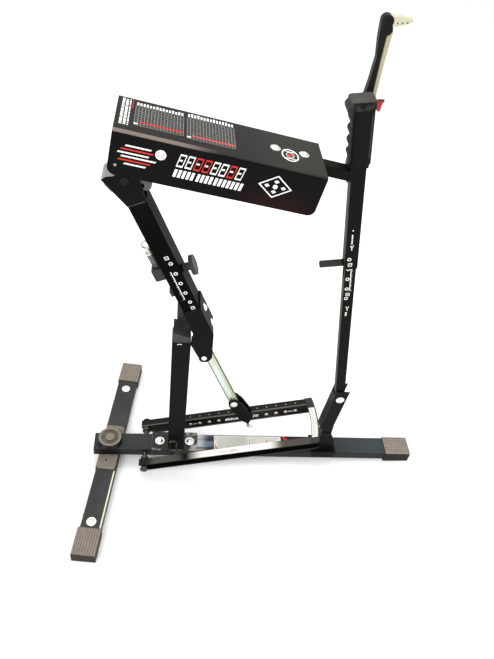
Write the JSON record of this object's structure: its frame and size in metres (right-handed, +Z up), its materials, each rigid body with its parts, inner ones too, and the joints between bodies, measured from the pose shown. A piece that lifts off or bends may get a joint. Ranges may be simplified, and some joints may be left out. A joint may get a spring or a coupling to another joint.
{
  "type": "baseball pitching machine",
  "caption": "Foot-powered baseball pitching machine: spring box with a swinging throwing arm and hand grip on an adjustable triangular frame with a pedal and a folding T base.",
  "frame": {"origin": "middle of the bounding box, at floor level", "axes": "+Z up, +X towards the rear foot along the base tube (the ball is thrown towards -X), +Y the throwing-arm side"},
  "size_m": [0.8432, 0.5844, 1.0778],
  "materials": {
    "black_paint": "satin",
    "slate_paint": "satin",
    "gloss_black": "gloss",
    "rubber": "ribbed, matte",
    "knob_plastic": "matte",
    "grey_plastic": "matte",
    "grip_plastic": "textured",
    "zinc": "zinc plated",
    "yellow_zinc": "yellow passivated",
    "bright_steel": "worn bright",
    "spring_steel": "oiled",
    "arm_plastic": "moulded",
    "cream_plastic": "moulded",
    "red_plastic": "moulded",
    "cable_steel": "stranded",
    "nylon": "moulded"
  },
  "bodies": {
    "base": {"base_tube": "slate_paint", "base_front_plug": "nylon", "base_rear_cap": "rubber", "knob_stud": "zinc", "post_tube": "black_paint", "post_bracket": "slate_paint", "post_bolts": "zinc", "post_top_plug": "grey_plastic", "post_lug": "black_paint", "beam_pivot_bolts": "zinc", "rear_bracket": "black_paint", "mast_pivot_bolt": "zinc", "pedal_shaft": "bright_steel"},
    "front_leg": {"leg_tube": "slate_paint", "leg_caps": "rubber", "leg_saddle": "rubber", "leg_bolts": "zinc"},
    "leg_knob": {"leg_knob": "knob_plastic"},
    "beam": {"beam_tube": "black_paint", "beam_inner_tube": "black_paint", "beam_foot": "black_paint", "beam_foot_bolts": "zinc", "beam_head": "black_paint", "head_pivot_bolt": "zinc", "catch_block": "nylon", "catch_spring": "spring_steel", "rod_guides": "nylon", "draw_cable": "cable_steel"},
    "beam_knob": {"beam_knob": "grey_plastic"},
    "catch_plunger": {"catch_plunger": "bright_steel"},
    "cable_pulley": {"cable_pulley": "nylon"},
    "box": {"box_cover": "gloss_black", "box_chassis": "black_paint", "cover_bolts": "zinc", "cable_run": "cable_steel", "power_springs": "spring_steel", "spring_strap": "spring_steel", "mast_sleeve": "black_paint", "grip": "grip_plastic", "arm_bushes": "nylon"},
    "carriage": {"spring_carriage": "spring_steel"},
    "spring_block": {"spring_block": "spring_steel"},
    "mast_lower": {"mast_inner": "black_paint"},
    "mast_pin": {"mast_pin": "grip_plastic"},
    "arm": {"arm_shaft": "bright_steel", "arm_drum": "spring_steel", "throwing_arm": "arm_plastic", "arm_strip": "cream_plastic", "ball_finger": "cream_plastic"},
    "trigger": {"trigger_lever": "red_plastic"},
    "pedal": {"pedal_rail_near": "black_paint", "pedal_rail_far": "black_paint", "pedal_tread": "slate_paint", "pedal_bushes": "nylon", "pedal_lug": "black_paint", "link_pivot_bolt": "zinc"},
    "speed_pin": {"speed_pin": "bright_steel"},
    "draw_link": {"draw_link": "yellow_zinc", "draw_link_pin": "zinc"},
    "draw_rod": {"draw_rod": "bright_steel"}
  },
  "joints": [
    {"name": "leg_fold", "type": "hinge", "parent": "base", "child": "front_leg", "pos_m": [-0.36004, 0, 0], "axis": [0.0364, 0, 0.9993], "range_deg": [-83.25, 6.75]},
    {"name": "leg_knob_turn", "type": "hinge", "parent": "base", "child": "leg_knob", "pos_m": [-0.36004, 0, 0], "axis": [0.0364, 0, 0.9993], "continuous": true},
    {"name": "beam_pitch", "type": "hinge", "parent": "base", "child": "beam", "pos_m": [-0.1316, 0, 0.39295], "axis": [0, 1, 0], "range_deg": [-4, 6]},
    {"name": "box_pitch", "type": "hinge", "parent": "beam", "child": "box", "pos_m": [-0.27518, 0, 0.81946], "axis": [0, 1, 0], "range_deg": [-1.88, 1.25]},
    {"name": "mast_telescope", "type": "slide", "parent": "box", "child": "mast_lower", "axis": [0.1275, 0, -0.9918], "range_m": [-0.01977, 0.01318]},
    {"name": "mast_pin_pull", "type": "slide", "parent": "box", "child": "mast_pin", "axis": [-0.9918, 0, -0.1275], "range_m": [0, 0.011], "stiffness_N_per_m": 400, "springref_m": -0.01},
    {"name": "beam_knob_turn", "type": "hinge", "parent": "beam", "child": "beam_knob", "pos_m": [-0.19376, 0, 0.61279], "axis": [0.931, 0, 0.3651], "continuous": true},
    {"name": "catch_pull", "type": "slide", "parent": "beam", "child": "catch_plunger", "axis": [0.3651, 0, -0.931], "range_m": [0, 0.014], "stiffness_N_per_m": 600, "springref_m": -0.008, "deforming": ["catch_spring"]},
    {"name": "pedal_press", "type": "hinge", "parent": "base", "child": "pedal", "pos_m": [-0.27052, 0, 0.04027], "axis": [0, 1, 0], "range_deg": [0, 7], "stiffness_Nm_per_rad": 40, "springref_deg": -20.05},
    {"name": "link_swing", "type": "hinge", "parent": "pedal", "child": "draw_link", "pos_m": [-0.05155, 0.037, 0.17289], "axis": [0, 1, 0], "range_deg": [-7.99, 0]},
    {"name": "rod_slide", "type": "slide", "parent": "beam", "child": "draw_rod", "axis": [0.3651, 0, -0.931], "range_m": [0, 0.03175]},
    {"name": "carriage_slide", "type": "slide", "parent": "box", "child": "carriage", "axis": [-0.9797, 0, 0.2006], "range_m": [0, 0.03175], "deforming": ["power_springs"]},
    {"name": "pulley_turn", "type": "hinge", "parent": "beam", "child": "cable_pulley", "pos_m": [-0.27518, 0.037, 0.81946], "axis": [0, 1, 0], "range_deg": [-60.25, 0]},
    {"name": "arm_cock", "type": "hinge", "parent": "box", "child": "arm", "pos_m": [0.12358, 0.05, 0.8089], "axis": [0, 1, 0], "range_deg": [0, 130], "stiffness_Nm_per_rad": 6, "springref_deg": -22.92},
    {"name": "spring_block_slide", "type": "slide", "parent": "box", "child": "spring_block", "axis": [0.9797, 0, -0.2006], "range_m": [0, 0.02847], "deforming": ["power_springs", "spring_strap"]},
    {"name": "trigger_pull", "type": "hinge", "parent": "box", "child": "trigger", "pos_m": [0.11983, 0.022, 0.94785], "axis": [0, 1, 0], "range_deg": [0, 20], "stiffness_Nm_per_rad": 0.5, "springref_deg": -5.73},
    {"name": "speed_pin_pull", "type": "slide", "parent": "pedal", "child": "speed_pin", "axis": [0, -1, 0], "range_m": [0, 0.037]}
  ],
  "couplings": [
    {"joint": "box_pitch", "follows": "beam_pitch", "ratio": -0.30665},
    {"joint": "mast_telescope", "follows": "beam_pitch", "m_per_rad": -0.18508},
    {"joint": "link_swing", "follows": "pedal_press", "ratio": -1.119},
    {"joint": "rod_slide", "follows": "pedal_press", "m_per_rad": 0.25478},
    {"joint": "carriage_slide", "follows": "pedal_press", "m_per_rad": 0.25478},
    {"joint": "pulley_turn", "follows": "pedal_press", "ratio": -8.4379},
    {"joint": "spring_block_slide", "follows": "arm_cock", "m_per_rad": 0.0123}
  ]
}
